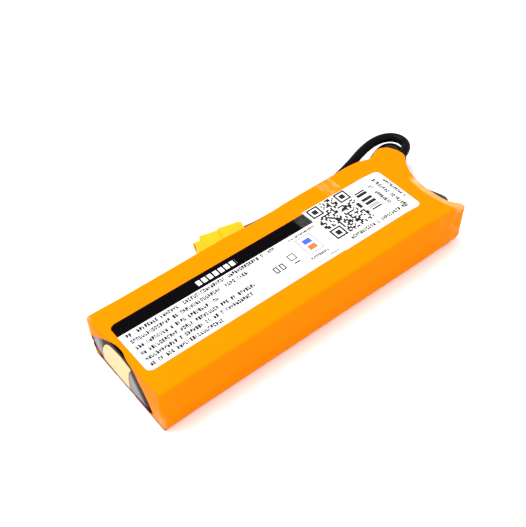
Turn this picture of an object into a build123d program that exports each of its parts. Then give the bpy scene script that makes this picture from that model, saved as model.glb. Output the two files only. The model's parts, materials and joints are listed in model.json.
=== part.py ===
from build123d import *
import math
import os

# A three-cell lithium-polymer pack in orange shrink film, lying flat, with two
# silicone leads that run back along its rear side to a two-pole connector.
# Millimetres.  +X runs to the end where the leads leave, +Y to the side where
# they lie, +Z up.  The origin is at the middle of the film's underside.

# ---- driving dimensions -------------------------------------------------
PACK_LENGTH = 166.0          # film, tip of the lead snout included
PACK_WIDTH = 51.2
FILM_HEIGHT = 23.2           # without the labels
FILM_WALL = 0.35
EDGE_RADIUS = 1.7            # long edges of the film
LABEL_THICK = 0.12
LABEL_WIDTH = 28.2
LABEL_Y = 0.2                # middle of both labels
LABEL_CORNER = 2.4
SNOUT_START = 75.5           # where the film's cavity ends and the snout starts
BEYOND = 90.0                # clear of the film's far end

PAD_X = 73.4                 # inner face of the far end pad
PAD_FRONT = -21.0
PAD_BACK = 12.8
PAD_Z = (2.6, 20.2)

CELL_LENGTH = 136.0          # pouch, without its sealed end
CELL_WIDTH = 48.6
CELL_THICK = 6.85
CELL_START = 2.4             # from the near end of the film
COVER_THICK = 0.6
ADHESIVE_THICK = 0.3
TERRACE_LENGTH = 6.0         # sealed end of the pouch that the tabs leave by
TERRACE_THICK = 0.5
TAB_WIDTH = 10.0
TAB_THICK = 0.3
TAB_OFFSET = 12.0            # each tab from the pack's middle plane
BOARD_THICK = 1.2
BOARD_GAP = 8.1              # from the sealed ends to the tab board
BOARD_TOP = 19.7             # the film sinks over the tab board
BOARD_BOTTOM = 1.6
BOARD_WIDTH = 44.6
BOARD_Y = -0.5               # middle of the tab board
BOARD_CORNER = 3.0
SLOT_CLEARANCE = 0.2         # beside a tab in its slot
STRIP_THICK = 0.35           # nickel links and bus strips
TAB_FOLD = 2.3               # length of a tab that is folded down on the tab board
END_BOARD_THICK = 0.8
END_BOARD_WIDTH = 48.8
END_BOARD_HEIGHT = 20.8
END_BOARD_CORNER = 1.8
END_BOARD_GAP = 0.5          # from the near end board to the cells
END_TAPE_THICK = 0.25

LEAD_DIAMETER = 4.5          # 12-gauge wire in silicone
CONDUCTOR_DIAMETER = 2.8
SLEEVE_WALL = 0.22
SLEEVE_GAP = 0.02

CONNECTOR_WIDTH = 16.4       # over the rear cap
CONNECTOR_THICK = 7.8
NOSE_LENGTH = 3.4
BODY_LENGTH = 9.2
CAP_LENGTH = 11.3
NOSE_WIDTH = 12.6
NOSE_CHAMFER = 1.8
BODY_WIDTH = 14.9
SPIGOT_LENGTH = 2.4          # part of the housing inside the cap
SPIGOT_WIDTH = 13.4
CAP_INSIDE_WIDTH = 13.6
CAP_END_WALL = 1.6
CAP_TAPER = 1.2              # length over which the cap narrows to its rear face
POLE_OFFSET = 3.6            # each pole from the connector's middle
SOCKET_BORE_RADIUS = 1.75    # takes a 3.5 mm bullet
SOCKET_BORE_LENGTH = 8.5
SOCKET_RECESS = 0.6          # socket's mouth behind the nose's face
SHANK_RADIUS = 2.27
BODY_Z = (0.6, 6.9)          # underside and top of the connector's body
NOSE_Z = (1.0, 6.5)
CAP_INSIDE_Z = (0.95, 6.55)

# ---- places worked out from them ------------------------------------------
NEAR = -PACK_LENGTH / 2
FRONT = -PACK_WIDTH / 2
BACK = PACK_WIDTH / 2
CELL_X = NEAR + CELL_START
CELL_END = CELL_X + CELL_LENGTH
TERRACE_END = CELL_END + TERRACE_LENGTH
BOARD_X = TERRACE_END + BOARD_GAP
BOARD_FACE = BOARD_X + BOARD_THICK
STRIP_X = BOARD_FACE + TAB_THICK             # links and bus strips lie on the folded tabs
STRIP_FACE = STRIP_X + STRIP_THICK
END_BOARD_X = CELL_X - END_BOARD_GAP - END_BOARD_THICK
BOTTOM_COVER_Z = FILM_WALL
CELL_PITCH = CELL_THICK + ADHESIVE_THICK
CELL_Z = [BOTTOM_COVER_Z + COVER_THICK + i * CELL_PITCH for i in range(3)]
TOP_COVER_Z = CELL_Z[2] + CELL_THICK
TAB_Z = [z + CELL_THICK / 2 for z in CELL_Z]
LEAD_RADIUS = LEAD_DIAMETER / 2
CONDUCTOR_RADIUS = CONDUCTOR_DIAMETER / 2

# ---- the connector's place: flat behind the pack, turned a little -----------
CONNECTOR_YAW = -14.5
CONNECTOR_REAR = Vector(3.84, 34.4, 0)      # middle of the cap's rear face, on the floor
CONNECTOR_LENGTH = NOSE_LENGTH + BODY_LENGTH + CAP_LENGTH
ALONG = Vector(1, 0, 0).rotate(Axis.Z, CONNECTOR_YAW)
ACROSS = Vector(0, 1, 0).rotate(Axis.Z, CONNECTOR_YAW)
NOSE_POINT = CONNECTOR_REAR - ALONG * CONNECTOR_LENGTH
CONNECTOR_PLACE = Location((NOSE_POINT.X, NOSE_POINT.Y, 0), (0, 0, CONNECTOR_YAW))
POLE_Z = 3.75
BORE_FLOOR = 1.6             # between a socket's bore and its solder cup
CUP_LENGTH = 6.4
CUP_FLOOR = 0.6
CUP_START = SOCKET_RECESS + SOCKET_BORE_LENGTH + BORE_FLOOR
CUP_END = CUP_START + CUP_LENGTH
CUP_RADIUS = 2.2
CUP_BORE_RADIUS = 1.55
EXIT_RUN = 10.0              # straight lead behind each solder cup


def pole_point(side, along):
    """A point on a pole's axis, measured back from the nose; side is +1 for the far pole."""
    base = NOSE_POINT + ALONG * along + ACROSS * (side * POLE_OFFSET)
    return (base.X, base.Y, POLE_Z)


# ---- lead routes: points of the centreline, from the snout to the solder cup ----
NEGATIVE_ROUTE = [
    (76.5, 20.6, 13.5),
    (83.0, 20.8, 13.5),
    (89.7, 22.1, 13.8),
    (94.8, 25.3, 14.0),
    (95.7, 30.9, 14.0),
    (92.2, 35.7, 14.0),
    (85.2, 37.7, 13.8),
    (76.0, 36.6, 13.4),
    (64.5, 33.2, 12.2),
    (51.5, 30.9, 10.7),
    (37.0, 31.2, 9.2),
    (22.5, 34.5, 7.1),
    pole_point(1, CUP_END + EXIT_RUN),
    pole_point(1, CUP_END),
]
POSITIVE_ROUTE = [
    (76.5, 19.9, 8.3),
    (82.6, 20.1, 8.3),
    (87.6, 21.5, 8.4),
    (91.8, 25.2, 9.3),
    (92.2, 30.4, 10.2),
    (89.2, 34.2, 9.6),
    (84.6, 35.0, 6.6),
    (77.6, 32.4, 3.6),
    (65.0, 30.4, 2.6),
    (52.5, 29.2, 2.5),
    (39.0, 28.4, 2.45),
    (24.5, 28.1, 2.7),
    pole_point(-1, CUP_END + EXIT_RUN),
    pole_point(-1, CUP_END),
]
SLEEVE_RUNS = 5              # whole runs of the positive route under the exit sleeve, and half the next


def box(x0, x1, y0, y1, z0, z1):
    """A block between two corners."""
    middle = ((x0 + x1) / 2, (y0 + y1) / 2, (z0 + z1) / 2)
    return Pos(*middle) * Box(x1 - x0, y1 - y0, z1 - z0)


def rod(point, length, radius, axis=(1, 0, 0)):
    """A round bar from a point along an axis."""
    return Solid.make_cylinder(radius, length, Plane(origin=point, z_dir=axis))


def group(shapes):
    """Several separate solids as one shape."""
    return Compound(children=list(shapes))


# ---- film, labels and end pieces ----------------------------------------------
LEAD_MOUTH_Y = (15.0, 23.8)
LEAD_MOUTH_Z = (4.2, 18.2)


def film_plan():
    """The film seen from above: the far end is hollowed between its front corner and the snout."""
    near_front = (NEAR, FRONT)
    near_back = (NEAR, BACK)
    snout_tip = (-NEAR, 17.5)
    far_front = (79.6, FRONT)
    snout_front = (81.4, 13.4)
    snout_back = (79.0, BACK - 0.4)
    outline = Polyline((SNOUT_START, BACK), near_back, near_front, far_front)
    outline += ThreePointArc(far_front, (76.8, -2.0), snout_front)
    outline += Line(snout_front, snout_tip)
    outline += ThreePointArc(snout_tip, (82.2, 22.6), snout_back)
    outline += Line(snout_back, (SNOUT_START, BACK))
    return make_face(outline)


def shrink_film():
    """A shrunk tube: an eye-shaped mouth at the near end, a wide mouth and a lead mouth at the far end."""
    shell = extrude(film_plan(), FILM_HEIGHT)
    tall = Plane.YZ * Rectangle(PACK_WIDTH, FILM_HEIGHT)
    rounded = fillet(tall.vertices(), EDGE_RADIUS)
    sides = extrude(Pos(NEAR, 0, FILM_HEIGHT / 2) * rounded, PACK_LENGTH)
    shell = shell & sides
    inner = Plane.YZ * Rectangle(PACK_WIDTH - 2 * FILM_WALL, FILM_HEIGHT - 2 * FILM_WALL)
    inner = fillet(inner.vertices(), EDGE_RADIUS - FILM_WALL)
    cavity_x = NEAR + FILM_WALL
    cavity = extrude(Pos(cavity_x, 0, FILM_HEIGHT / 2) * inner, SNOUT_START - cavity_x)
    mouth_x = SNOUT_START - 0.1
    mouth = box(mouth_x, BEYOND, FRONT + 3.4, 13.6, 2.2, FILM_HEIGHT - 2.2)
    lead_mouth = box(mouth_x, BEYOND, *LEAD_MOUTH_Y, *LEAD_MOUTH_Z)
    return shell - cavity - mouth - lead_mouth - near_mouth()


def near_mouth():
    """Cutter for the near end's eye-shaped mouth: arched above, flat below."""
    left = (25.0, 11.0)
    right = (-17.2, 3.0)
    eye = ThreePointArc(left, (4.0, 22.3), right)
    eye += ThreePointArc(right, (4.0, 0.9), left)
    return extrude(Plane.YZ * make_face(eye), 4, both=True).moved(Location((NEAR, 0, 0)))


def label(x0, x1, corners):
    """A thin sticker on top of the film; corners says which of its ends are rounded."""
    face = Pos((x0 + x1) / 2, LABEL_Y) * Rectangle(x1 - x0, LABEL_WIDTH)
    points = [v for v in face.vertices() if v.X in corners]
    face = fillet(points, LABEL_CORNER)
    return extrude(Pos(0, 0, FILM_HEIGHT) * face, LABEL_THICK)


def near_board():
    """Stiff glossy board across the near end of the cells."""
    face = Plane.YZ * Rectangle(END_BOARD_WIDTH, END_BOARD_HEIGHT)
    face = fillet(face.vertices(), END_BOARD_CORNER)
    return extrude(Pos(END_BOARD_X, 0, FILM_HEIGHT / 2) * face, END_BOARD_THICK)


def cream_tape():
    """Paper tape down the middle of the near board, waisted on one side and slanted on the other."""
    outline = Polyline((-1.2, 1.5), (18.4, 1.5), (18.2, 4.0), (15.9, 12.0))
    outline += ThreePointArc((15.9, 12.0), (13.6, 16.4), (10.4, 19.0))
    outline += Line((10.4, 19.0), (-4.2, 19.0))
    outline += ThreePointArc((-4.2, 19.0), (-1.8, 10.6), (-1.2, 1.5))
    return extrude(Pos(END_BOARD_X, 0, 0) * (Plane.YZ * make_face(outline)), -END_TAPE_THICK)


def far_pad():
    """Foam block in the far mouth, bulging out in both directions."""
    low, high = PAD_Z
    plan = Polyline((PAD_X, PAD_BACK), (PAD_X, PAD_FRONT), (76.6, PAD_FRONT))
    plan += ThreePointArc((76.6, PAD_FRONT), (79.6, -13.0), (76.0, PAD_BACK))
    plan += Line((76.0, PAD_BACK), (PAD_X, PAD_BACK))
    block = extrude(make_face(plan), FILM_HEIGHT)
    side = Polyline((PAD_X, high), (PAD_X, low), (77.2, low))
    side += ThreePointArc((77.2, low), (80.4, (low + high) / 2), (77.2, high))
    side += Line((77.2, high), (PAD_X, high))
    lens = extrude(Plane.XZ * make_face(side), 40, both=True)
    return block & lens


# ---- cell stack ------------------------------------------------------------------
def cell(level):
    """Pouch cell: flat pouch with rounded long sides and a thin sealed end."""
    face = Plane.YZ * Rectangle(CELL_WIDTH, CELL_THICK)
    face = fillet(face.vertices(), 1.6)
    pouch = extrude(Pos(CELL_X, 0, TAB_Z[level]) * face, CELL_LENGTH)
    half = TERRACE_THICK / 2
    reach = CELL_WIDTH / 2 - 1.5
    return pouch + box(CELL_END, TERRACE_END, -reach, reach, TAB_Z[level] - half, TAB_Z[level] + half)


def cover_sheet(z):
    """Stiff sheet that protects a flat face of the stack."""
    reach = CELL_WIDTH / 2 - 2
    return box(CELL_X, CELL_END, -reach, reach, z, z + COVER_THICK)


def adhesive_pad(level):
    """Double-sided adhesive between two pouches."""
    z = CELL_Z[level] + CELL_THICK
    return box(CELL_X + 6, CELL_END - 6, -18, 18, z, z + ADHESIVE_THICK)


def tab(level, side):
    """Tab that leaves the sealed end, passes through the board and folds down against it."""
    top = TAB_Z[level] + TAB_THICK
    y0 = side * TAB_OFFSET - TAB_WIDTH / 2
    strip = box(TERRACE_END, STRIP_X, y0, y0 + TAB_WIDTH, TAB_Z[level], top)
    return strip + box(BOARD_FACE, STRIP_X, y0, y0 + TAB_WIDTH, TAB_Z[level] - TAB_FOLD, top)


def tab_sealant(level):
    """Polymer strips that seal both tabs, above and below, where they leave the pouch."""
    strips = []
    for side in (-1, 1):
        y0 = side * TAB_OFFSET - TAB_WIDTH / 2 - 1
        for z in (TAB_Z[level] - 0.2, TAB_Z[level] + TAB_THICK):
            strips.append(box(TERRACE_END, TERRACE_END + 2, y0, y0 + TAB_WIDTH + 2, z, z + 0.2))
    return group(strips)


def tab_board():
    """Glass-fibre board with a slot for every tab; its top back corner clears the film's dent."""
    outline = Rectangle(BOARD_WIDTH, BOARD_TOP - BOARD_BOTTOM)
    face = Plane.YZ * (Pos(BOARD_Y, (BOARD_BOTTOM + BOARD_TOP) / 2) * outline)
    back_top = face.vertices().sort_by(Axis.Y)[2:].sort_by(Axis.Z)[-1:]
    face = fillet(back_top, BOARD_CORNER)
    board = extrude(Pos(BOARD_X, 0, 0) * face, BOARD_THICK)
    for z in TAB_Z:
        for side in (-1, 1):
            reach = TAB_WIDTH / 2 + SLOT_CLEARANCE
            y = side * TAB_OFFSET
            board -= box(BOARD_X - 1, BOARD_FACE + 1, y - reach, y + reach, z, z + TAB_THICK)
    return board


def strip(y0, y1, z0, z1):
    """A nickel strip on the folded tabs."""
    return box(STRIP_X, STRIP_FACE, y0, y1, z0, z1)


def series_link(level, side):
    """Nickel strip that joins the folded tabs of two neighbouring cells."""
    y0 = side * TAB_OFFSET - 3.5
    return strip(y0, y0 + 7, TAB_Z[level] - TAB_FOLD + 0.2, TAB_Z[level + 1] + 0.1)


def negative_bus():
    """Strip from the top cell's front tab over the back link to the black lead."""
    z = TAB_Z[2] + TAB_THICK
    fold = strip(-TAB_OFFSET - 4, -TAB_OFFSET + 4, TAB_Z[2] - TAB_FOLD + 0.2, z)
    over = strip(-TAB_OFFSET - 4, 20.4, z, BOARD_TOP - 0.1)
    return fold + over + strip(18.0, 20.4, 16.5, z) + strip(18.0, 21.7, 11.9, 16.5)


def positive_bus():
    """Strip from the bottom cell's back tab across to the red lead."""
    z = TAB_Z[0] + 0.1
    return strip(TAB_OFFSET - 4, 21.7, TAB_Z[0] - TAB_FOLD + 0.2, z) + strip(17.6, 21.7, z, 9.8)


def board_insulator():
    """Fish-paper sheet over the board's soldered face; it ends short of the leads."""
    x0 = STRIP_FACE + 0.2
    return box(x0, x0 + 0.3, -22.4, 17.0, BOARD_BOTTOM + 0.2, BOARD_TOP)


def stack_tape(x0, length):
    """Band of tape round all three cells, their covers included."""
    reach = CELL_WIDTH / 2 + 0.15
    z0 = BOTTOM_COVER_Z + COVER_THICK + 1.6
    z1 = TOP_COVER_Z - 1.6
    bands = []
    for side in (-1, 1):
        y = sorted((side * CELL_WIDTH / 2, side * reach))
        bands.append(box(x0, x0 + length, y[0], y[1], z0, z1))
    return group(bands)


# ---- leads ------------------------------------------------------------------------------
def corner_radii(route):
    """At each corner, the largest arc its two runs allow."""
    radii = []
    for a, b, c in zip(route, route[1:], route[2:]):
        before = Vector(*b) - Vector(*a)
        after = Vector(*c) - Vector(*b)
        turn = math.radians(before.get_angle(after))
        shorter = min(before.length, after.length)
        radii.append(0.45 * shorter / math.tan(turn / 2))
    return radii


def swept(route, radii, section):
    """A section swept along straight runs and tangent arcs, and the length of that path."""
    path = FilletPolyline(*route, radius=radii)
    start = Plane(origin=route[0], z_dir=Vector(*route[1]) - Vector(*route[0]))
    return sweep(start * section, path=path), path.length


def lead(name, route):
    """A silicone-covered lead; prints its bends, length and volume."""
    radii = corner_radii(route)
    tube, length = swept(route, radii, Circle(LEAD_RADIUS))
    ideal = math.pi * LEAD_RADIUS**2 * length
    print(name, "radii", [round(r, 1) for r in radii], "length", round(length, 1))
    print(name, "volume", round(tube.volume, 1), "section x length", round(ideal, 1))
    return tube


def exit_sleeve():
    """Thin black sleeve on the positive lead where it leaves the film."""
    last = Vector(*POSITIVE_ROUTE[SLEEVE_RUNS])
    middle = (last + Vector(*POSITIVE_ROUTE[SLEEVE_RUNS + 1])) / 2
    route = POSITIVE_ROUTE[: SLEEVE_RUNS + 1] + [(middle.X, middle.Y, middle.Z)]
    inside = LEAD_RADIUS + SLEEVE_GAP
    ring = Circle(inside + SLEEVE_WALL) - Circle(inside)
    return swept(route, corner_radii(POSITIVE_ROUTE)[:SLEEVE_RUNS], ring)[0]


def tinned_end(route):
    """Tinned copper from the lead's inner end to the face of its bus strip."""
    x, y, z = route[0]
    inward = Vector(*route[0]) - Vector(*route[1])
    copper = rod(route[0], x - STRIP_FACE + 1, CONDUCTOR_RADIUS, inward.normalized())
    return copper & box(STRIP_FACE, x + 5, y - 5, y + 5, z - 5, z + 5)


def solder_joints():
    """Low domes of solder on every folded tab that carries a strip."""
    spots = [(-1, 0), (-1, 1), (1, 1), (1, 2), (-1, 2), (1, 0)]
    domes = []
    for side, level in spots:
        place = (STRIP_FACE, side * TAB_OFFSET, TAB_Z[level] - 1.0)
        domes.append(Solid.make_cone(1.05, 0.6, 0.16, Plane(origin=place, z_dir=(1, 0, 0))))
    return group(domes)


# ---- connector, built from its nose backwards and then put in place ------------------------
def rounded_block(x0, x1, width, z0, z1, radius):
    """A block along X whose four long edges are rounded."""
    face = Plane.YZ * Rectangle(width, z1 - z0)
    face = fillet(face.vertices(), radius)
    return extrude(Pos(x0, 0, (z0 + z1) / 2) * face, x1 - x0)


def connector_housing():
    """Nose with two polarising chamfers on the far side, body, and a spigot inside the cap."""
    body_end = NOSE_LENGTH + BODY_LENGTH
    face = Plane.YZ * Rectangle(NOSE_WIDTH, NOSE_Z[1] - NOSE_Z[0])
    far_side = face.vertices().sort_by(Axis.Y)[2:]
    face = chamfer(far_side, NOSE_CHAMFER)
    near_side = face.vertices().sort_by(Axis.Y)[:2]
    face = fillet(near_side, 0.6)
    nose = extrude(Pos(0, 0, POLE_Z) * face, NOSE_LENGTH + 0.5)
    body = rounded_block(NOSE_LENGTH, body_end, BODY_WIDTH, *BODY_Z, 0.9)
    rims = body.edges().group_by(Axis.X)[0]
    body = fillet(rims, 0.35)
    spigot = rounded_block(body_end - 0.5, body_end + SPIGOT_LENGTH, SPIGOT_WIDTH, 1.1, 6.4, 1.0)
    housing = nose + body + spigot
    for side in (-1, 1):
        housing -= rod((-1, side * POLE_OFFSET, POLE_Z), body_end + 4, SHANK_RADIUS)
    return housing


def connector_cap():
    """Hollow rear cap over the solder cups, with a hole for each lead."""
    start = NOSE_LENGTH + BODY_LENGTH
    end = CONNECTOR_LENGTH
    middle = CONNECTOR_THICK / 2
    front_face = Plane.YZ * Rectangle(CONNECTOR_WIDTH, CONNECTOR_THICK)
    front_face = fillet(front_face.vertices(), 1.9)
    rear_face = Plane.YZ * Rectangle(CONNECTOR_WIDTH - 0.9, CONNECTOR_THICK - 0.5)
    rear_face = fillet(rear_face.vertices(), 2.1)
    shoulder = end - CAP_TAPER
    cap = extrude(Pos(start, 0, middle) * front_face, shoulder - start)
    cap += loft([Pos(shoulder, 0, middle) * front_face, Pos(end, 0, middle) * rear_face])
    cap -= rounded_block(start - 1, end - CAP_END_WALL, CAP_INSIDE_WIDTH, *CAP_INSIDE_Z, 1.0)
    for side in (-1, 1):
        cap -= rod((start, side * POLE_OFFSET, POLE_Z), CAP_LENGTH + 2, LEAD_RADIUS + 0.06)
    return cap


def socket(side):
    """Gold-plated bullet socket with a half-open solder cup behind it."""
    y = side * POLE_OFFSET
    shank = CUP_START - SOCKET_RECESS
    body = rod((SOCKET_RECESS, y, POLE_Z), shank, SHANK_RADIUS)
    body += rod((CUP_START, y, POLE_Z), CUP_END - CUP_START, CUP_RADIUS)
    body -= rod((SOCKET_RECESS - 1, y, POLE_Z), SOCKET_BORE_LENGTH + 1, SOCKET_BORE_RADIUS)
    body -= rod((CUP_START + CUP_FLOOR, y, POLE_Z), CUP_END, CUP_BORE_RADIUS)
    return body - box(CUP_START + 1.4, CUP_END - 0.8, y - 3, y + 3, POLE_Z + 0.9, POLE_Z + 4)


def cup_conductor(side):
    """Tinned conductor end soldered in the cup."""
    place = (CUP_START + CUP_FLOOR, side * POLE_OFFSET, POLE_Z)
    return rod(place, CUP_LENGTH - CUP_FLOOR, CUP_BORE_RADIUS)


def build():
    """Every node of the pack, by name."""
    nodes = {
        "shrink_film": shrink_film(),
        "main_label": label(NEAR + 3.5, NEAR + 104.0, [NEAR + 3.5]),
        "data_label": label(NEAR + 104.6, NEAR + 147.6, [NEAR + 147.6]),
        "near_end_board": near_board(),
        "cream_tape": cream_tape(),
        "far_end_pad": far_pad(),
        "bottom_cover_sheet": cover_sheet(BOTTOM_COVER_Z),
        "top_cover_sheet": cover_sheet(TOP_COVER_Z),
        "tab_board": tab_board(),
        "series_link_front": series_link(0, -1),
        "series_link_back": series_link(1, 1),
        "negative_bus_strip": negative_bus(),
        "positive_bus_strip": positive_bus(),
        "solder_joints": solder_joints(),
        "board_insulator": board_insulator(),
        "stack_tape_near": stack_tape(CELL_X + 18, 20),
        "stack_tape_far": stack_tape(CELL_END - 32.5, 20),
        "lead_negative": lead("lead_negative", NEGATIVE_ROUTE),
        "lead_positive": lead("lead_positive", POSITIVE_ROUTE),
        "lead_exit_sleeve": exit_sleeve(),
        "tinned_end_negative": tinned_end(NEGATIVE_ROUTE),
        "tinned_end_positive": tinned_end(POSITIVE_ROUTE),
    }
    for level in range(3):
        number = str(level + 1)
        nodes["cell_" + number] = cell(level)
        nodes["tab_sealant_" + number] = tab_sealant(level)
        polarity = {-1: "negative", 1: "positive"} if level != 1 else {-1: "positive", 1: "negative"}
        for side in (-1, 1):
            nodes["tab_" + polarity[side] + "_" + number] = tab(level, side)
    for level, name in enumerate(("lower", "upper")):
        nodes["adhesive_pad_" + name] = adhesive_pad(level)
    connector = {"connector_housing": connector_housing(), "connector_cap": connector_cap()}
    for side, pole in ((1, "negative"), (-1, "positive")):
        connector["socket_" + pole] = socket(side)
        connector["cup_conductor_" + pole] = cup_conductor(side)
    for name, shape in connector.items():
        nodes[name] = CONNECTOR_PLACE * shape
    return nodes


os.makedirs("parts", exist_ok=True)
for node, shape in build().items():
    export_step(shape, "parts/" + node + ".step")
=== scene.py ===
import json
import math

import bpy
from mathutils import Matrix, Vector, noise


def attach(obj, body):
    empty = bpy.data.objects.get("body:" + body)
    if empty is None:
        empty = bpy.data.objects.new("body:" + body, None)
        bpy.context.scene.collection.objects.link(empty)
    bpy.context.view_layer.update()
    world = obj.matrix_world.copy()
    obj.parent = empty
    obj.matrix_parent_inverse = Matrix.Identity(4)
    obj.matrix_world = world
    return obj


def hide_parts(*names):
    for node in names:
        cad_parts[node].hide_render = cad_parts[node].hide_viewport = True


# A flat lithium-polymer pack in orange shrink film, lying on a pale table.
# The frame is in metres; the numbers below are in millimetres and are scaled by MM.
MM = 0.001
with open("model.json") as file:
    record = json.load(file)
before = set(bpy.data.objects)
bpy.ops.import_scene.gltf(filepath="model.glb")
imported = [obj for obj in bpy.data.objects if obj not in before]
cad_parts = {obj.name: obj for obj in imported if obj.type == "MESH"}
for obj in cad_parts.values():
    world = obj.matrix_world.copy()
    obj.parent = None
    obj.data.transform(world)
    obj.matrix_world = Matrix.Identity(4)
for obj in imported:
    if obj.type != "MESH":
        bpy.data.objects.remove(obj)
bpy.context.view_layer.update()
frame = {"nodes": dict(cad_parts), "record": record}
NODES = frame["nodes"]

# ---- driving sizes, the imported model's own but for the film's wall -----------------------
NEAR = -83.0
HALF_WIDTH = 25.6
HEIGHT = 23.2
FILM_WALL = 0.3        # 0.35 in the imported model
LEAD_DIAMETER = 4.5
CONNECTOR_YAW = math.radians(-14.5)
CONNECTOR_LENGTH = 23.9
CONNECTOR_REAR = Vector((3.84, 34.4, 0))
POLE_OFFSET = 3.6
POLE_Z = 3.75
CUP_END = 17.1
EXIT_RUN = 10.0


# ---- camera ------------------------------------------------------------------------------
CAMERA_LENS = 64.9
CAMERA_PLACE = (-171.4, -212.6, 313.4)
CAMERA_ANGLES = (42.68, 1.70, -38.48)


def add_camera():
    data = bpy.data.cameras.new("camera")
    data.sensor_width = 36
    data.lens = CAMERA_LENS
    data.clip_start = 0.01
    camera = bpy.data.objects.new("camera", data)
    bpy.context.scene.collection.objects.link(camera)
    camera.location = Vector(CAMERA_PLACE) * MM
    camera.rotation_euler = [math.radians(a) for a in CAMERA_ANGLES]
    bpy.context.scene.camera = camera


# ---- materials ---------------------------------------------------------------------------
class Field:
    """A number that varies over a surface, built from Math nodes."""

    def __init__(self, tree, socket):
        self.tree = tree
        self.socket = socket

    def math(self, kind, *others):
        node = self.tree.nodes.new("ShaderNodeMath")
        node.operation = kind
        for place, value in enumerate([self, *others]):
            if isinstance(value, Field):
                self.tree.links.new(value.socket, node.inputs[place])
            else:
                node.inputs[place].default_value = value
        return Field(self.tree, node.outputs[0])

    def __add__(self, other):
        return self.math("ADD", other)

    def __sub__(self, other):
        return self.math("SUBTRACT", other)

    def __mul__(self, other):
        return self.math("MULTIPLY", other)

    def __gt__(self, other):
        return self.math("GREATER_THAN", other)

    def __lt__(self, other):
        return self.math("LESS_THAN", other)

    def over(self, other):
        return self.math("MAXIMUM", other)

    def floor(self):
        return self.math("FLOOR")

    def ramp(self, low, high):
        """Rises smoothly from 0 to 1 between two values."""
        node = self.tree.nodes.new("ShaderNodeMapRange")
        node.interpolation_type = "SMOOTHSTEP"
        self.tree.links.new(self.socket, node.inputs["Value"])
        node.inputs["From Min"].default_value = low
        node.inputs["From Max"].default_value = high
        return Field(self.tree, node.outputs["Result"])

    def within(self, low, high):
        return (self > low) * (self < high)


class Finish:
    """One procedural material: a Principled shader with noise-driven colour, roughness and bump."""

    def __init__(self, name, roughness, colour, **sockets):
        self.material = bpy.data.materials.new(name)
        self.material.use_nodes = True
        self.tree = self.material.node_tree
        self.shader = self.tree.nodes["Principled BSDF"]
        self.shader.inputs["Roughness"].default_value = roughness
        self.shader.inputs["Base Color"].default_value = (*colour, 1)
        for socket, value in sockets.items():
            self.shader.inputs[socket.replace("_", " ")].default_value = value
        self.material.diffuse_color = (*colour, 1)
        self.place = self.tree.nodes.new("ShaderNodeTexCoord").outputs["Object"]

    def link(self, a, b):
        self.tree.links.new(a, b)

    def stretched(self, scale):
        node = self.tree.nodes.new("ShaderNodeMapping")
        node.inputs["Scale"].default_value = scale
        self.link(self.place, node.inputs["Vector"])
        return node.outputs[0]

    def noise(self, per_mm, detail=2.0, stretch=(1, 1, 1)):
        """Soft noise; per_mm is how many of its lumps fit in a millimetre."""
        node = self.tree.nodes.new("ShaderNodeTexNoise")
        node.inputs["Scale"].default_value = per_mm / MM
        node.inputs["Detail"].default_value = detail
        self.link(self.stretched(stretch), node.inputs["Vector"])
        return Field(self.tree, node.outputs["Fac"])

    def blend(self, factor, low, high):
        """A colour between two, by a field."""
        node = self.tree.nodes.new("ShaderNodeMix")
        node.data_type = "RGBA"
        node.inputs["A"].default_value = (*low, 1)
        node.inputs["B"].default_value = (*high, 1)
        self.link(factor.socket, node.inputs["Factor"])
        return node

    def colour(self, factor, low, high):
        self.link(self.blend(factor, low, high).outputs["Result"], self.shader.inputs["Base Color"])
        return self

    def rough(self, factor, low, high):
        self.link((factor * (high - low) + low).socket, self.shader.inputs["Roughness"])
        return self

    def bump(self, field, height_mm, strength=1.0):
        node = self.tree.nodes.new("ShaderNodeBump")
        node.inputs["Strength"].default_value = strength
        node.inputs["Distance"].default_value = height_mm * MM
        self.link(field.socket, node.inputs["Height"])
        self.link(node.outputs["Normal"], self.shader.inputs["Normal"])
        return self


def mottled(name, roughness, dark, light, per_mm, bump_mm=0.01, spread=0.1, **sockets):
    """A finish whose colour, roughness and relief all follow one noise."""
    finish = Finish(name, roughness, light, **sockets)
    lumps = finish.noise(per_mm, 3)
    finish.colour(lumps, dark, light)
    finish.rough(lumps, roughness - spread / 2, roughness + spread / 2)
    finish.bump(finish.noise(per_mm * 2, 2), bump_mm, 0.5)
    return finish.material


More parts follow.
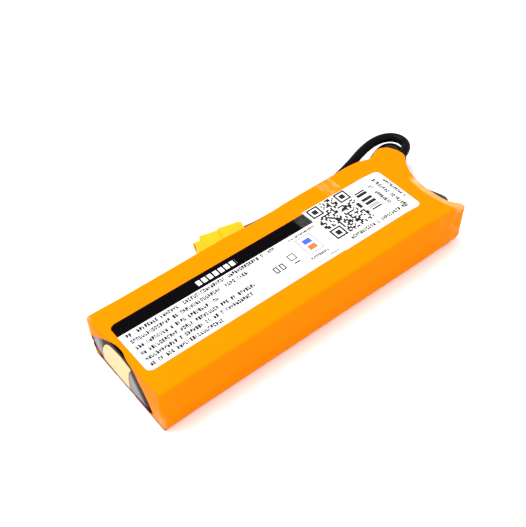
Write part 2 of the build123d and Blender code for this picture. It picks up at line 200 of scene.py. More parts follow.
def film_finish():
    """Orange film with painted highlights in pale orange at its near corners, along its far lip and at its
    far front corner, paler streaks over the tape below it, and a painted shadow in dark red along its near
    end's bottom edge and low on its back corner.
    """
    orange, deep_orange = (0.93, 0.218, 0.0003), (0.91, 0.206, 0.0002)
    pale, rim_shadow = (1.0, 0.46, 0.22), (0.25, 0.03, 0.01)
    finish = Finish("film_orange_gloss", 0.3, orange, Specular_IOR_Level=0.005)
    at = Print(finish)
    cloud = finish.noise(0.03, 2)
    speckle = finish.noise(1.6, 2).ramp(0.45, 0.65)
    streaks = finish.noise(0.35, 3, (1, 0.5, 1)).ramp(0.42, 0.7)
    # painted highlight: speckled pale gloss low on the near end's front corner
    near_corner_highlight = at.x.ramp(-80.8, -82.6) * at.y.ramp(-16.0, -21.0) * at.z.ramp(13.0, 5.0)
    near_corner_highlight = near_corner_highlight * (speckle * 0.5 + 0.1)
    # painted highlight on the near end's back corner
    left_corner_highlight = at.x.ramp(-81.6, -83.2) * at.y.ramp(21.0, 24.5) * 0.25
    # painted highlight: a streaky pale band along the rolled far lip, following the curve of its edge
    from_middle = at.y + 7.5
    in_from_edge = from_middle * from_middle * -0.011 + at.x - 75.6
    far_lip_highlight = in_from_edge.ramp(-4.4, -3.4) * at.y.ramp(4.0, -2.0) * at.z.ramp(17.5, 19.5)
    far_lip_highlight = far_lip_highlight * (streaks * 0.5 + 0.4)
    band = at.x.within(36.0, 44.0) * at.y.ramp(14.5, 15.5) * at.z.ramp(20.0, 22.0) * streaks * 0.4
    # painted highlights: faint pale streaks towards the far front corner
    far_front_highlight = at.x.ramp(60.0, 72.0) * at.y.ramp(-24.6, -25.3) * streaks * 0.12
    # the painted highlights and the streaky band over the tape, laid on in pale orange
    highlights_and_streaks = any_of([near_corner_highlight, left_corner_highlight, far_lip_highlight, band, far_front_highlight])
    # painted shadow: dark red along the near end's bottom edge and low on its back corner
    rim = (at.x < -82.0) * (at.z < 1.3).over((at.y > 24.7) * (at.z < 11.0))
    layered(finish, [(cloud, orange), (highlights_and_streaks, pale), (rim, rim_shadow)], deep_orange)
    finish.rough(finish.noise(0.2, 3), 0.28, 0.4)
    finish.bump(finish.noise(0.9, 3), 0.02, 0.35)
    return finish.material


def rubber_finish(name, dark, light):
    finish = Finish(name, 0.24, light, Specular_IOR_Level=0.05)
    finish.colour(finish.noise(0.4, 2), dark, light)
    finish.rough(finish.noise(1.2, 2), 0.2, 0.32)
    finish.bump(finish.noise(3.0, 2), 0.01, 0.4)
    return finish.material


MARK_PITCH = 0.62      # from one word-like mark to the next, as a share of the mark's height
MARK_STRETCH = 1.25    # a mark fills its pitch divided by this
MARK_CELLS = 3         # cells across and up in a mark
CELLS_LEFT_OUT = 0.34
STRIPES_LEFT_OUT = 0.36
SQUARES_LEFT_OUT = 0.5
EYE_CELLS = 7          # cells across the nested square in a corner


class Print:
    """Masks over a finish, such as ink on a label: places are millimetres in the shared frame."""

    def __init__(self, finish):
        self.finish = finish
        tree = finish.tree
        parts = tree.nodes.new("ShaderNodeSeparateXYZ")
        finish.link(finish.place, parts.inputs[0])
        self.x = Field(tree, parts.outputs["X"]) * (1 / MM)
        self.y = Field(tree, parts.outputs["Y"]) * (1 / MM)
        self.z = Field(tree, parts.outputs["Z"]) * (1 / MM)

    def chance(self, a, b):
        """A random number from 0 to 1 for every whole pair of a and b."""
        tree = self.finish.tree
        join = tree.nodes.new("ShaderNodeCombineXYZ")
        for place, value in enumerate((a, b)):
            if isinstance(value, Field):
                tree.links.new((value + 0.5).socket, join.inputs[place])
            else:
                join.inputs[place].default_value = value + 0.5
        node = tree.nodes.new("ShaderNodeTexWhiteNoise")
        tree.links.new(join.outputs[0], node.inputs["Vector"])
        return Field(tree, node.outputs["Value"])

    def box(self, x0, x1, y0, y1):
        return self.x.within(x0, x1) * self.y.within(y0, y1)

    def ring(self, x0, x1, y0, y1, line):
        inner = self.box(x0 + line, x1 - line, y0 + line, y1 - line)
        return self.box(x0, x1, y0, y1) - inner

    def squares(self, x0, y0, size, cells):
        """A block of random black squares with a nested square in three of its corners."""
        pitch = size / cells
        across = ((self.x - x0) * (1 / pitch)).floor()
        up = ((self.y - y0) * (1 / pitch)).floor()
        ink = (self.chance(across, up) > SQUARES_LEFT_OUT) * self.box(x0, x0 + size, y0, y0 + size)
        eye = EYE_CELLS * pitch
        for cx, cy in ((x0, y0), (x0, y0 + size - eye), (x0 + size - eye, y0 + size - eye)):
            clear = self.box(cx - pitch, cx + eye + pitch, cy - pitch, cy + eye + pitch)
            ink = ink * (clear < 0.5)
            ink = ink.over(self.ring(cx, cx + eye, cy, cy + eye, pitch))
            rim = 2 * pitch
            ink = ink.over(self.box(cx + rim, cx + eye - rim, cy + rim, cy + eye - rim))
        return ink

    def words(self, along, across, start, end, middle, height, seed, gaps=0.15):
        """A line of word-like marks with no letters in it; it runs where along does."""
        pitch = height * MARK_PITCH
        place = (along - start) * (1 / pitch)
        inside = (place - place.floor()) * MARK_STRETCH
        full = self.chance(place.floor(), seed) > gaps
        column = (inside * MARK_CELLS).floor()
        row = ((across - middle) * (MARK_CELLS / height) + MARK_CELLS / 2).floor()
        block = self.chance(column + place.floor() * MARK_CELLS, row + 10 * seed) > CELLS_LEFT_OUT
        line = along.within(start, end) * across.within(middle - height / 2, middle + height / 2)
        return line * full * (inside < 1.0) * block.over(column < 0.5)

    def blocks(self, x0, x1, y0, y1, pitch, filled):
        """A row of plain blocks along X."""
        place = (self.x - x0) * (1 / pitch)
        return ((place - place.floor()) < filled) * self.box(x0, x1, y0, y1)

    def bars(self, x0, x1, y0, y1, pitch, seed):
        """Stripes of random width, stacked along Y."""
        stripe = self.chance(((self.y - y0) * (1 / pitch)).floor(), seed) > STRIPES_LEFT_OUT
        return self.box(x0, x1, y0, y1) * stripe


PAPER = (0.8, 0.79, 0.8)
WHITE_INK = (0.9, 0.9, 0.9)
STRIP_INK = (0.002, 0.0015, 0.002)
# grey of the painted sheen at the dark strip's end
STRIP_SHEEN_INK = (0.06, 0.06, 0.065)
TEXT_INK = (0.02, 0.02, 0.022)
SYMBOL_INK = (0.03, 0.03, 0.03)
FAINT_INK = (0.2, 0.2, 0.21)
BLUE_INK = (0.06, 0.12, 0.55)
RED_INK = (0.75, 0.16, 0.05)
LABEL_GLOSS = {"Specular_IOR_Level": 0.01}


def any_of(masks):
    """One mask that is set wherever any of these is."""
    joined = masks[0]
    for mask in masks[1:]:
        joined = joined.over(mask)
    return joined


def layered(finish, layers, base):
    """Colours laid over each other, each by its own mask."""
    below = None
    for mask, colour in layers:
        node = finish.blend(mask, base, colour)
        if below:
            finish.link(below.outputs["Result"], node.inputs["A"])
        below = node
    finish.link(below.outputs["Result"], finish.shader.inputs["Base Color"])


def label_finish(name, layers_of):
    """Paper with the layers of ink that layers_of(ink) gives."""
    finish = Finish(name, 0.32, PAPER, **LABEL_GLOSS)
    layered(finish, layers_of(Print(finish)), PAPER)
    finish.bump(finish.noise(1.5, 2), 0.01, 0.3)
    return finish.material


def main_label_layers(ink):
    """A dark strip with a heading of blocks, six lines of marks, plain symbols and two bars."""
    strip = (ink.y + (ink.x + 80) * 0.0075) > 8.0
    line_start, line_height = -76.8, 2.0
    lines = [(-2.5, 6.0), (-19.5, 2.6), (-37.0, -1.0), (-20.0, -4.5), (-25.0, -7.8), (-42.5, -11.1)]
    text = any_of([
        ink.words(ink.x, ink.y, line_start, end, middle, line_height, seed)
        for seed, (end, middle) in enumerate(lines)
    ])
    symbols = any_of([
        ink.ring(-10.8, -8.6, -6.2, -2.6, 0.6),
        ink.ring(-7.6, -5.4, -6.2, -2.6, 0.6),
        ink.ring(-1.9, 1.6, -4.5, -0.8, 0.5),
        ink.box(-1.5, 1.5, -6.6, -5.9),
        ink.words(ink.x, ink.y, 4.5, 19.0, 5.3, 1.3, 21),
        ink.words(ink.x, ink.y, 5.5, 15.0, -8.8, 1.4, 22),
    ])
    frame_line = ink.ring(6.5, 14.6, -6.7, 3.7, 0.4)
    return [
        (strip, STRIP_INK),
        # painted sheen: the dark strip turns grey towards its end
        (strip * ink.x.ramp(13.5, 15.0) * ink.finish.noise(0.5, 2), STRIP_SHEEN_INK),
        (ink.blocks(-39.5, -19.5, 9.3, 12.0, 2.85, 0.7), WHITE_INK),
        (text, TEXT_INK),
        (symbols, SYMBOL_INK),
        (frame_line.over(ink.words(ink.x, ink.y, 7.0, 18.0, -11.8, 1.1, 23)), FAINT_INK),
        (ink.box(8.6, 12.6, -1.0, 1.8), BLUE_INK),
        (ink.box(8.6, 12.6, -4.8, -2.0), RED_INK),
    ]


def data_label_layers(ink):
    """A block of squares, a block of bars and four lines of marks, three of them across the label."""
    gaps = 0.08
    marks = any_of([
        ink.squares(21.5, -7.4, 21.8, 25),
        ink.bars(45.0, 50.6, -3.8, 9.6, 0.42, 3),
        ink.words(ink.y, ink.x, -5.0, 8.6, 54.0, 1.9, 31, gaps),
        ink.words(ink.y, ink.x, -9.6, 12.4, 58.4, 2.1, 32, gaps),
        ink.words(ink.y, ink.x, -5.6, 8.6, 62.6, 1.7, 36, gaps),
        ink.words(ink.x, ink.y, 26.5, 60.0, -10.3, 2.0, 34, gaps),
    ])
    return [(marks, TEXT_INK)]


def end_board_finish():
    """Glossy black board with a painted reflection of the table in its colour: grey away from the film's
    upper lip, black close under it.
    """
    finish = Finish("board_gloss", 0.2, (0.004, 0.004, 0.005), Specular_IOR_Level=0.01)
    at = Print(finish)
    from_left = at.y * -0.57 - at.z * 0.83 + 23.2
    from_right = at.y * 0.85 - at.z * 0.535 + 16.5
    inside = from_left.math("MINIMUM", from_right).math("MINIMUM", at.z * -1 + 22.5)
    # painted reflection of the table: grey away from the lip's edges and towards the back side
    table_reflection = inside.ramp(3.6, 8.0).over(at.y.ramp(14.5, 21.0)) * (finish.noise(0.12, 2) * 0.3 + 0.7)
    finish.colour(table_reflection, (0.002, 0.002, 0.003), (0.33, 0.305, 0.315))
    finish.bump(finish.noise(0.4, 2), 0.02, 0.3)
    return finish.material


def tape_finish():
    finish = Finish("tape_paper", 0.6, (0.82, 0.66, 0.38), Specular_IOR_Level=0.04)
    crepe = finish.noise(0.9, 3, (1, 0.25, 1))
    finish.colour(crepe, (0.7, 0.55, 0.3), (0.77, 0.63, 0.38))
    finish.bump(crepe, 0.06, 0.6)
    return finish.material


def nylon_finish():
    finish = Finish("nylon_yellow", 0.34, (0.95, 0.42, 0.004), Specular_IOR_Level=0.12)
    finish.colour(finish.noise(0.15, 2), (0.93, 0.4, 0.003), (0.97, 0.45, 0.006))
    finish.rough(finish.noise(0.8, 3), 0.28, 0.42)
    finish.bump(finish.noise(2.5, 2), 0.008, 0.4)
    return finish.material


METAL = {"Metallic": 1.0}
# For each plain slot: roughness, darker and lighter colour, lumps in a millimetre, and what else differs.
PLAIN_FINISHES = {
    "label_white": (0.35, (0.84, 0.84, 0.85), (0.88, 0.88, 0.88), 0.5, {}),
    "board_black": (
        0.12, (0.004, 0.004, 0.005), (0.01, 0.01, 0.012), 0.15, {"bump_mm": 0.02, "spread": 0.06}
    ),
    "foam_black": (0.7, (0.004, 0.004, 0.004), (0.02, 0.02, 0.02), 1.5, {"bump_mm": 0.05}),
    "cover_sheet": (0.5, (0.2, 0.21, 0.2), (0.3, 0.31, 0.3), 0.3, {}),
    "cell_pouch": (0.3, (0.6, 0.6, 0.6), (0.78, 0.78, 0.77), 0.8, {"bump_mm": 0.04, **METAL}),
    "adhesive": (0.5, (0.7, 0.69, 0.6), (0.85, 0.84, 0.78), 0.6, {}),
    "tab_aluminium": (0.3, (0.7, 0.7, 0.7), (0.85, 0.85, 0.85), 1.0, METAL),
    "tab_nickel": (0.28, (0.55, 0.52, 0.46), (0.72, 0.69, 0.62), 1.0, METAL),
    "sealant": (0.4, (0.03, 0.03, 0.03), (0.08, 0.08, 0.08), 1.0, {}),
    "board_green": (0.35, (0.01, 0.12, 0.03), (0.02, 0.2, 0.06), 0.6, {}),
    "solder": (0.22, (0.6, 0.6, 0.62), (0.8, 0.8, 0.8), 1.2, METAL),
    "insulator": (0.7, (0.5, 0.52, 0.48), (0.7, 0.72, 0.68), 0.8, {}),
    "stack_tape": (0.25, (0.55, 0.25, 0.02), (0.75, 0.4, 0.05), 0.3, {}),
    "sleeve_black": (0.4, (0.001, 0.001, 0.001), (0.003, 0.003, 0.003), 1.5, {"Specular_IOR_Level": 0.1}),
    "gold": (0.2, (0.75, 0.48, 0.1), (0.9, 0.62, 0.18), 1.0, METAL),
}


def slot_finishes():
    """The material for every slot of the record."""
    finishes = {
        "film_orange": film_finish(),
        "tape_cream": tape_finish(),
        "lead_black": rubber_finish("lead_black", (0.001, 0.001, 0.0012), (0.003, 0.003, 0.0035)),
        "lead_red": rubber_finish("lead_red", (0.5, 0.01, 0.008), (0.62, 0.02, 0.012)),
        "connector_yellow": nylon_finish(),
    }
    for slot, (roughness, dark, light, per_mm, rest) in PLAIN_FINISHES.items():
        finishes[slot] = mottled(slot, roughness, dark, light, per_mm, **rest)
    return finishes


# ---- leads -------------------------------------------------------------------------------
def pole_point(side, along):
    """A point on a pole's axis, measured back from the connector's nose; side is +1 for the far pole."""
    turn = Matrix.Rotation(CONNECTOR_YAW, 3, "Z")
    base = CONNECTOR_REAR + turn @ Vector((along - CONNECTOR_LENGTH, side * POLE_OFFSET, 0))
    return (base.x, base.y, POLE_Z)


NEGATIVE_ROUTE = [
    (76.5, 20.6, 13.5),
    (83.0, 20.8, 13.5),
    (89.7, 22.1, 13.8),
    (94.8, 25.3, 14.0),
    (95.7, 30.9, 14.0),
    (92.2, 35.7, 14.0),
    (85.2, 37.7, 13.8),
    (76.0, 36.6, 13.4),
    (64.5, 33.2, 12.2),
    (51.5, 30.9, 10.7),
    (37.0, 31.2, 9.2),
    (22.5, 34.5, 7.1),
    pole_point(1, CUP_END + EXIT_RUN),
    pole_point(1, CUP_END),
]
POSITIVE_ROUTE = [
    (76.5, 19.9, 8.3),
    (82.6, 20.1, 8.3),
    (87.6, 21.5, 8.4),
    (91.8, 25.2, 9.3),
    (92.2, 30.4, 10.2),
    (89.2, 34.2, 9.6),
    (84.6, 35.0, 6.6),
    (77.6, 32.4, 3.6),
    (65.0, 30.4, 2.6),
    (52.5, 29.2, 2.5),
    (39.0, 28.4, 2.45),
    (24.5, 28.1, 2.7),
    pole_point(-1, CUP_END + EXIT_RUN),
    pole_point(-1, CUP_END),
]


def add_lead(name, route, finish, node):
    """A silicone lead on a smooth curve through its route."""
    curve = bpy.data.curves.new(name, "CURVE")
    curve.dimensions = "3D"
    spline = curve.splines.new("NURBS")
    spline.points.add(len(route) - 1)
    for point, place in zip(spline.points, route):
        point.co = (*(Vector(place) * MM), 1)
    spline.order_u = 3
    spline.use_endpoint_u = True
    spline.resolution_u = 16
    curve.bevel_depth = LEAD_DIAMETER / 2 * MM
    curve.bevel_resolution = 8
    curve.use_fill_caps = True
    curve.materials.append(finish)
    lead = bpy.data.objects.new(name, curve)
    bpy.context.scene.collection.objects.link(lead)
    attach(lead, "root")
    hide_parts(node)
    return lead


# ---- mesh helpers ------------------------------------------------------------------------
def add_mesh(name, points, faces, finish, nodes=()):
    """A smooth-shaded piece from points in millimetres."""
    mesh = bpy.data.meshes.new(name)
    mesh.from_pydata([Vector(p) * MM for p in points], [], faces)
    mesh.materials.append(finish)
    mesh.validate()
    for polygon in mesh.polygons:
        polygon.use_smooth = True
    piece = bpy.data.objects.new(name, mesh)
    bpy.context.scene.collection.objects.link(piece)
    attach(piece, "root")
    if nodes:
        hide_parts(*nodes)
    return piece


def ring_faces(rings, count):
    """Quads between closed rings of the same number of points."""
    faces = []
    for a in range(rings - 1):
        for i in range(count):
            j = (i + 1) % count
            faces.append((a * count + i, (a + 1) * count + i, (a + 1) * count + j, a * count + j))
    return faces


def smooth_step(x, low, high):
    t = min(1.0, max(0.0, (x - low) / (high - low)))
    return t * t * (3 - 2 * t)


def bell(x, middle, width):
    return math.exp(-(((x - middle) / width) ** 2))


def through(points, t):
    """The value at t of a smooth line through (t, value) points in rising order of t."""
    if t <= points[0][0]:
        return points[0][1]
    if t >= points[-1][0]:
        return points[-1][1]
    at = max(i for i, p in enumerate(points[:-1]) if p[0] <= t)
    (t0, v0), (t1, v1) = points[at], points[at + 1]
    before = points[at - 1] if at else (2 * t0 - t1, v0)
    after = points[at + 2] if at + 2 < len(points) else (2 * t1 - t0, v1)
    span = t1 - t0
    slope0 = (v1 - before[1]) / (t1 - before[0]) * span
    slope1 = (after[1] - v0) / (after[0] - t0) * span
    u = (t - t0) / span
    return (
        v0 * (2 * u**3 - 3 * u**2 + 1)
        + slope0 * (u**3 - 2 * u**2 + u)
        + v1 * (3 * u**2 - 2 * u**3)
        + slope1 * (u**3 - u**2)
    )


# ---- film --------------------------------------------------------------------------------
TOP_STEPS = 64
SIDE_STEPS = 24
CORNER_STEPS = 8


def rounded_loop(y0, y1, z0, z1, radius):
    """Points and outward directions round a section: top, back, bottom, front."""
    loop = []

    def straight(a, b, steps, out):
        for i in range(steps):
            loop.append((a + (b - a) * (i / steps), out))

    def corner(middle, start):
        for i in range(CORNER_STEPS):
            angle = math.radians(start - 90 * i / CORNER_STEPS)
            out = Vector((math.cos(angle), math.sin(angle)))
            loop.append((middle + out * radius, out))

    left, right, low, high = y0 + radius, y1 - radius, z0 + radius, z1 - radius
    straight(Vector((left, z1)), Vector((right, z1)), TOP_STEPS, Vector((0, 1)))
    corner(Vector((right, high)), 90)
    straight(Vector((y1, high)), Vector((y1, low)), SIDE_STEPS, Vector((1, 0)))
    corner(Vector((right, low)), 0)
    straight(Vector((right, z0)), Vector((left, z0)), TOP_STEPS, Vector((0, -1)))
    corner(Vector((left, low)), -90)
    straight(Vector((y0, low)), Vector((y0, high)), SIDE_STEPS, Vector((-1, 0)))
    corner(Vector((left, high)), 180)
    return loop


def far_dip(x):
    """How far the top sinks past the ends of the cells."""
    return 2.1 * smooth_step(x, 53, 77)


def ripple(x, y, z):
    """Slight unevenness of the shrunk film, more of it near the far end."""
    broad = noise.noise(Vector((x * 0.045, y * 0.07, z * 0.07)))
    fine = noise.noise(Vector((x * 0.16 + 7, y * 0.3, z * 0.3)))
    far = smooth_step(x, 57, 75)
    return 0.03 * broad + (0.02 + 0.16 * far) * fine - 0.05


def section(x):
    """The film's cross-section at x, before ripples."""
    radius = 1.0 + 0.6 * smooth_step(x, -80, -66) + 0.5 * smooth_step(x, 52, 78)
    snug, off_table = 0.06, 0.02
    return rounded_loop(-HALF_WIDTH + snug, HALF_WIDTH - snug, off_table, HEIGHT - far_dip(x), radius)


DENT_X, SHOULDER_X, WAIST_X = 69.3, 77.0, 3.0


def film_point(x, place, out):
    """A point of the film's outside: dent before the snout, snout's shoulder, slight waist and ripples."""
    y, z = place
    back = smooth_step(y, 14, 24)
    dent = bell(x, DENT_X, 4.2) * back * smooth_step(z, 8, 20)
    shoulder = bell(x, SHOULDER_X, 4.8) * back * smooth_step(z, 5, 12)
    y += 1.6 * shoulder - 0.8 * dent
    z += 0.9 * shoulder * smooth_step(z, 12, 20) - 0.4 * dent
    waist = bell(x, WAIST_X, 12.0) * smooth_step(y, 16, 25)
    y -= 0.6 * waist
    z -= 0.3 * waist * smooth_step(z, 12, 20)
    push = ripple(x, y, z)
    if z < 1.0:
        push = min(push, 0.0)
    return Vector((x, y + out.x * push, z + out.y * push))


def top_height(x, y):
    """Height of the film's top."""
    return film_point(x, (y, HEIGHT - far_dip(x)), Vector((0, 1))).z


# The near mouth's outline, from its left corner over the top, seen from the near end: (y, z).
NEAR_MOUTH = [
    (25.3, 10.6),
    (21.0, 15.0),
    (16.9, 18.1),
    (13.2, 20.4),
    (10.3, 21.8),
    (7.7, 22.7),
    (3.3, 23.1),
    (-1.7, 23.0),
    (-5.3, 22.5),
    (-7.6, 20.9),
    (-10.4, 16.2),
    (-14.2, 10.9),
    (-17.0, 5.4),
    (-17.5, 3.0),
    (-16.2, 1.5),
    (-12.0, 1.0),
    (-6.3, 0.6),
    (3.0, 0.5),
    (12.4, 0.7),
    (19.0, 1.0),
    (23.4, 1.8),
    (25.2, 5.7),
]
MOUTH_CENTRE = Vector((3.5, 10.8))


def polar(points, centre):
    """The outline as (angle, distance) from a centre, in rising order of angle, once round and a bit."""
    found = sorted(
        (math.atan2(z - centre.y, y - centre.x), math.hypot(y - centre.x, z - centre.y)) for y, z in points
    )
    before = [(a - math.tau, d) for a, d in found[-3:]]
    after = [(a + math.tau, d) for a, d in found[:3]]
    return before + found + after


def near_bow(y, z):
    """How far the stretched film bows out past the near end, most of it at the back."""
    return 0.75 * smooth_step(z, 1, 12) * smooth_step(y, 6, 22)


def near_cut(y, z):
    """How far the mouth's upper edge is cut back into the film's top."""
    return 0.85 * bell(y, 4.0, 5.5) * smooth_step(z, 18, 22)


def near_end_rings(base, steps):
    """Rings that carry the film round the near edge and in to the mouth."""
    outline = polar(NEAR_MOUTH, MOUTH_CENTRE)
    paths = []
    for place, _ in base:
        away = place - MOUTH_CENTRE
        reach = through(outline, math.atan2(away.y, away.x))
        inward = MOUTH_CENTRE + away.normalized() * reach - place
        depth = inward.length
        radius = 0.8 + 0.7 * (1 - smooth_step(place.x, -25, -8)) * smooth_step(place.y, 0, 14)
        turned = math.acos(max(0.0, 1 - depth / radius))
        flat = max(0.0, depth - radius)
        path = []
        for i in range(1, steps + 1):
            angle = turned * i / steps
            step = inward.normalized() * radius * (1 - math.cos(angle))
            x = NEAR + 0.05 + near_cut(*place) + radius * (1 - math.sin(angle))
            x -= near_bow(*place) * i / steps
            path.append(Vector((x, *(place + step))))
        for i in range(1, steps + 1):
            path.append(path[steps - 1] + Vector((0, *(inward.normalized() * flat * i / steps))))
        paths.append(path)
    return [[path[i] for path in paths] for i in reversed(range(2 * steps))]


# Where the film ends past the pack's far side, seen from above: (y, x).
FAR_EDGE = [
    (-25, 79.5),
    (-22, 78.0),
    (-18, 76.6),
    (-11, 75.6),
    (-4, 75.6),
    (3, 76.8),
    (9, 78.9),
    (13.5, 81.8),
    (17, 84.2),
    (20, 84.1),
    (22.5, 83.0),
    (25.5, 81.2),
]


def far_edge(y, z):
    """How far out the film reaches; its front side bulges at half height and is cut back below."""
    front = smooth_step(-y, 20, 25)
    tip = 1.0 * smooth_step(-y, 18, 24) * bell(z, 19.3, 2.2)
    bulge = 0.8 * bell(z, 14, 6) - 3.4 * smooth_step(-z, -3.0, 0)
    return through(FAR_EDGE, y) + front * bulge + tip


SNOUT_START = 66.0     # where the film starts to be stretched towards its far edge


def far_end_rings(steps, lip_steps):
    """Rings from the body to the far edge, and round it into the mouth."""
    base = section(SNOUT_START)
    rings = []
    for i in range(1, steps + 1):
        t = i / steps
        ring = []
        for index, (place, _) in enumerate(base):
            edge = far_edge(*place) - lip_radius(place)
            x = SNOUT_START + (edge - SNOUT_START) * t
            here, out = section(x)[index]
            ring.append((film_point(x, snout_place(here, x), out), out))
        rings.append([p for p, out in ring])
    last = ring
    for i in range(1, lip_steps + 1):
        angle = math.pi / 2 * i / lip_steps
        lip = []
        for (point, out), (place, _) in zip(last, base):
            radius = lip_radius(place)
            move = radius * (1 - math.cos(angle))
            lip.append(point + Vector((radius * math.sin(angle), -out.x * move, -out.y * move)))
        rings.append(lip)
    back, inward = 0.25, 0.45
    for i in (1, 2):
        rings.append([
            p + Vector((-back * i, -out.x * inward * i, -out.y * inward * i))
            for p, (_, out) in zip(lip, last)
        ])
    return rings


def lip_radius(place):
    """The rolled edge is broad over the end pad and tight on the snout."""
    return 1.0 + 1.2 * smooth_step(place.x, -24, -18) * (1 - smooth_step(place.x, 6, 14))


def snout_place(place, x):
    """The film drawn in round the leads: top down, underside up."""
    y, z = place
    on_snout = smooth_step(y, 8, 17) * smooth_step(x, 72, 82)
    low = 3.4 * on_snout
    high = 1.4 * on_snout
    middle = 11.0
    if z < middle:
        z += low * (middle - z) / middle
    else:
        z -= high * (z - middle) / (HEIGHT - middle)
    return (y, z)


NEAR_RUN = 2.5       # length of the film's rounded near edge
NEAR_STEPS = 8
BODY_STEPS = 150
SNOUT_STEPS = 22
LIP_STEPS = 7


def add_wall(piece, name, thickness, offset):
    """Makes a skin solid; offset is -1 for a wall inside it and 1 for one outside."""
    wall = piece.modifiers.new(name, "SOLIDIFY")
    wall.thickness = thickness * MM
    wall.offset = offset


def add_film(finish):
    base = section(NEAR)
    start = NEAR + NEAR_RUN
    rings = near_end_rings(base, NEAR_STEPS)
    for i in range(BODY_STEPS + 1):
        x = start + (SNOUT_START - start) * i / BODY_STEPS
        rings.append([film_point(x, place, out) for place, out in section(x)])
    rings += far_end_rings(SNOUT_STEPS, LIP_STEPS)
    points = [p for ring in rings for p in ring]
    faces = ring_faces(len(rings), len(base))
    film = add_mesh("shrink_film_wrap", points, faces, finish, ["shrink_film"])
    add_wall(film, "wall", FILM_WALL, -1)


# ---- labels ------------------------------------------------------------------------------
LABEL_CORNER = 2.4
LABEL_LIFT = 0.12          # the print's height above the film
LABEL_THICKNESS = 0.09
LABEL_COLUMN, LABEL_ROWS = 0.8, 36


def add_label(name, x0, x1, low, high, ends, finish, node):
    """A sticker laid on the film.

    low and high are its long edges at its two ends; ends says which ends have rounded corners.
    """
    columns, rows = round((x1 - x0) / LABEL_COLUMN), LABEL_ROWS
    points = []
    for i in range(columns + 1):
        for j in range(rows + 1):
            v = j / rows
            edge = min(v, 1 - v) * (high[0] - low[0])
            short = max(0.0, LABEL_CORNER - edge)
            trim = LABEL_CORNER - math.sqrt(max(0.0, LABEL_CORNER**2 - short**2))
            left = x0 + (trim if ends[0] else 0)
            right = x1 - (trim if ends[1] else 0)
            x = left + (right - left) * i / columns
            t = (x - x0) / (x1 - x0)
            bottom = low[0] + (low[1] - low[0]) * t
            top = high[0] + (high[1] - high[0]) * t
            y = bottom + (top - bottom) * v
            points.append((x, y, top_height(x, y) + LABEL_LIFT))
    faces = []
    for i in range(columns):
        for j in range(rows):
            a = i * (rows + 1) + j
            faces.append((a, a + rows + 1, a + rows + 2, a + 1))
    label = add_mesh(name, points, faces, finish, [node])
    add_wall(label, "paper", LABEL_THICKNESS, -1)


# ---- end pieces --------------------------------------------------------------------------
def sheet_mesh(name, across, up, shape, thickness, finish, nodes):
    """A sheet over a grid of (u, v) from 0 to 1, made solid."""
    points = [shape(i / across, j / up) for i in range(across + 1) for j in range(up + 1)]
    faces = []
    for i in range(across):
        for j in range(up):
            a = i * (up + 1) + j
            faces.append((a, a + 1, a + up + 2, a + up + 1))
    piece = add_mesh(name, points, faces, finish, nodes)
    add_wall(piece, "thickness", thickness, -1)


BOARD_X = -82.25
BOARD_HALF, BOARD_LOW, BOARD_HIGH = 25.0, 0.5, 22.0


def board_face(y, z):
    """The near board's outer face bows out towards its middle and its lower edge."""
    across = max(0.0, 1 - (y / 25.1) ** 2)
    return BOARD_X - 0.2 * across - 0.1 * smooth_step(-z, -14, -2) - 0.75 * near_bow(y, z)


def near_board_point(u, v):
    y = -BOARD_HALF + 2 * BOARD_HALF * u
    z = BOARD_LOW + (BOARD_HIGH - BOARD_LOW) * v
    return (board_face(y, z), y, z)


# The cream tape's side edges, as (height, y).
TAPE_RIGHT = [(1.4, -0.6), (6.0, -1.0), (10.0, -1.4), (14.0, -2.6), (17.4, -4.6), (19.2, -4.2)]
TAPE_LEFT = [(1.4, 19.0), (5.0, 18.4), (9.0, 17.4), (13.0, 15.6), (16.5, 13.2), (19.2, 9.6)]


TAPE_LOW, TAPE_HEIGHT, TAPE_WAVE, TAPE_LIFT = 0.9, 17.9, 0.4, 0.18


def cream_tape_point(u, v):
    z = TAPE_LOW + (TAPE_HEIGHT - TAPE_WAVE * math.cos(math.tau * u)) * v
    right, left = through(TAPE_RIGHT, z), through(TAPE_LEFT, z)
    y = right + (left - right) * u
    return (board_face(y, z) - TAPE_LIFT, y, z)


PAD_Y, PAD_Z = -4.1, 11.2
PAD_HALF_WIDTH, PAD_HALF_HEIGHT, PAD_CORNER = 16.6, 8.3, 4.0
PAD_BACK, PAD_SHOULDER = 73.4, 74.6
PAD_STEPS = 14
PAD_TIP = 0.02           # size of the last ring, as a share of the first


def far_pad_rings():
    """A foam block whose outer face bulges through the far mouth, most towards the front."""
    rings = []
    for i in range(PAD_STEPS + 1):
        angle = math.pi / 2 * i / PAD_STEPS
        size = math.cos(angle) ** 0.42 if i < PAD_STEPS else PAD_TIP
        wide, tall = PAD_HALF_WIDTH * size, PAD_HALF_HEIGHT * size
        loop = rounded_loop(PAD_Y - wide, PAD_Y + wide, PAD_Z - tall, PAD_Z + tall, PAD_CORNER * size)
        ring = []
        for place, _ in loop:
            bulge = 1.2 + 5.2 * bell(place.x, -15.0, 8.5)
            ring.append(Vector((PAD_SHOULDER + bulge * math.sin(angle) ** 1.1, *place)))
        rings.append(ring)
    return rings


def add_far_pad(finish):
    rings = far_pad_rings()
    count = len(rings[0])
    rings.insert(0, [Vector((PAD_BACK, p.y, p.z)) for p in rings[0]])
    faces = ring_faces(len(rings), count)
    faces.append(tuple(reversed(range((len(rings) - 1) * count, len(rings) * count))))
    faces.append(tuple(range(count)))
    points = [p for ring in rings for p in ring]
    add_mesh("far_pad_foam", points, faces, finish, ["far_end_pad"])


SLEEVE_LENGTH = 36
SLEEVE_INSIDE = LEAD_DIAMETER / 2 + 0.06     # 2.27 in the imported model
SLEEVE_WALL = 0.12                           # 0.22 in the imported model
SLEEVE_SIDES = 20


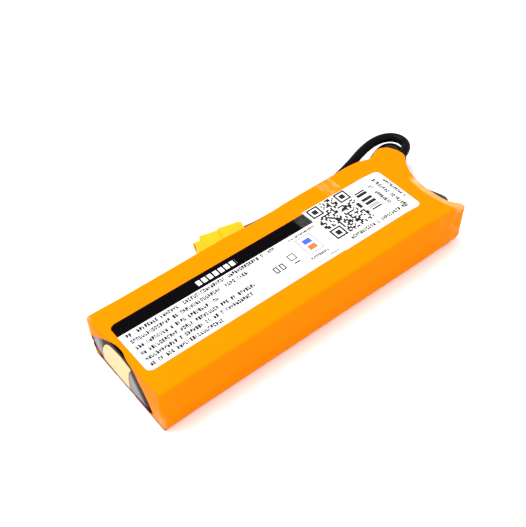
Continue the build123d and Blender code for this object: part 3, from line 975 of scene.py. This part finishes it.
def add_exit_sleeve(finish):
    """The sleeve on the positive lead's first stretch, round the same smooth curve."""
    curve = bpy.data.objects["positive_lead"].data.copy()
    curve.bevel_depth = 0
    holder = bpy.data.objects.new("sleeve_line", curve)
    line = [v.co.copy() / MM for v in bpy.data.meshes.new_from_object(holder).vertices]
    bpy.data.objects.remove(holder)
    length, kept = 0.0, [line[0]]
    for a, b in zip(line, line[1:]):
        length += (b - a).length
        if length > SLEEVE_LENGTH:
            break
        kept.append(b)
    angles = [math.tau * k / SLEEVE_SIDES for k in range(SLEEVE_SIDES)]
    points = []
    for i, point in enumerate(kept):
        ahead = (kept[min(i + 1, len(kept) - 1)] - kept[max(i - 1, 0)]).normalized()
        across = ahead.cross(Vector((0, 0, 1))).normalized()
        up = across.cross(ahead)
        points += [point + (across * math.cos(a) + up * math.sin(a)) * SLEEVE_INSIDE for a in angles]
    faces = ring_faces(len(kept), SLEEVE_SIDES)
    sleeve = add_mesh("exit_sleeve", points, faces, finish, ["lead_exit_sleeve"])
    add_wall(sleeve, "wall", SLEEVE_WALL, 1)
    return sleeve


# ---- stage -------------------------------------------------------------------------------
TABLE_HALF = 3.0          # metres, as are all sizes of the stage and its light
TABLE_DROP = 0.0001       # keeps the table clear of the pack's underside
LIGHT_TARGET = (0, 0, 0.01)
WORLD_STRENGTH = 1.2


def add_stage():
    mesh = bpy.data.meshes.new("table")
    corners = [(-1, -1), (1, -1), (1, 1), (-1, 1)]
    mesh.from_pydata([(x * TABLE_HALF, y * TABLE_HALF, 0) for x, y in corners], [], [(0, 1, 2, 3)])
    finish = Finish("table_white", 0.5, (0.93, 0.93, 0.93))
    finish.colour(finish.noise(0.01, 2), (0.92, 0.92, 0.92), (0.94, 0.94, 0.94))
    mesh.materials.append(finish.material)
    table = bpy.data.objects.new("table", mesh)
    table.location.z = -TABLE_DROP
    bpy.context.scene.collection.objects.link(table)


def add_light(name, place, size, power):
    data = bpy.data.lights.new(name, "AREA")
    data.shape = "DISK"
    data.size = size
    data.energy = power
    light = bpy.data.objects.new(name, data)
    light.location = place
    towards = Vector(LIGHT_TARGET) - Vector(place)
    light.rotation_euler = towards.to_track_quat("-Z", "Y").to_euler()
    bpy.context.scene.collection.objects.link(light)


def add_lighting():
    world = bpy.data.worlds.new("studio")
    world.use_nodes = True
    sky = world.node_tree.nodes["Background"]
    sky.inputs["Color"].default_value = (1, 1, 1, 1)
    sky.inputs["Strength"].default_value = WORLD_STRENGTH
    bpy.context.scene.world = world
    bpy.context.scene.view_settings.view_transform = "Standard"
    add_light("softbox_above", (-0.2, 0.35, 1.0), 0.8, 9)


# ---- putting it together -----------------------------------------------------------------
def paint_nodes(finishes):
    for entry in frame["record"]["subparts"]:
        node = NODES[entry["node"]]
        node.data.materials.clear()
        node.data.materials.append(finishes[entry["material_slot"]])


def main():
    finishes = slot_finishes()
    paint_nodes(finishes)
    add_camera()
    black, red = finishes["lead_black"], finishes["lead_red"]
    negative = add_lead("negative_lead", NEGATIVE_ROUTE, black, "lead_negative")
    positive = add_lead("positive_lead", POSITIVE_ROUTE, red, "lead_positive")
    sleeve = add_exit_sleeve(finishes["sleeve_black"])
    add_film(finishes["film_orange"])
    add_label(
        "main_sticker", -79.5, 20.4, (-13.8, -13.9), (14.8, 14.1), (True, False),
        label_finish("label_main", main_label_layers), "main_label",
    )
    add_label(
        "data_sticker", 19.9, 64.5, (-14.2, -14.2), (14.9, 14.4), (False, True),
        label_finish("label_data", data_label_layers), "data_label",
    )
    sheet_mesh(
        "near_board_face", 40, 20, near_board_point, 0.6,
        end_board_finish(), ["near_end_board"],
    )
    sheet_mesh(
        "cream_tape_strip", 24, 24, cream_tape_point, 0.15,
        finishes["tape_cream"], ["cream_tape"],
    )
    add_far_pad(finishes["foam_black"])
    add_stage()
    add_lighting()


main()
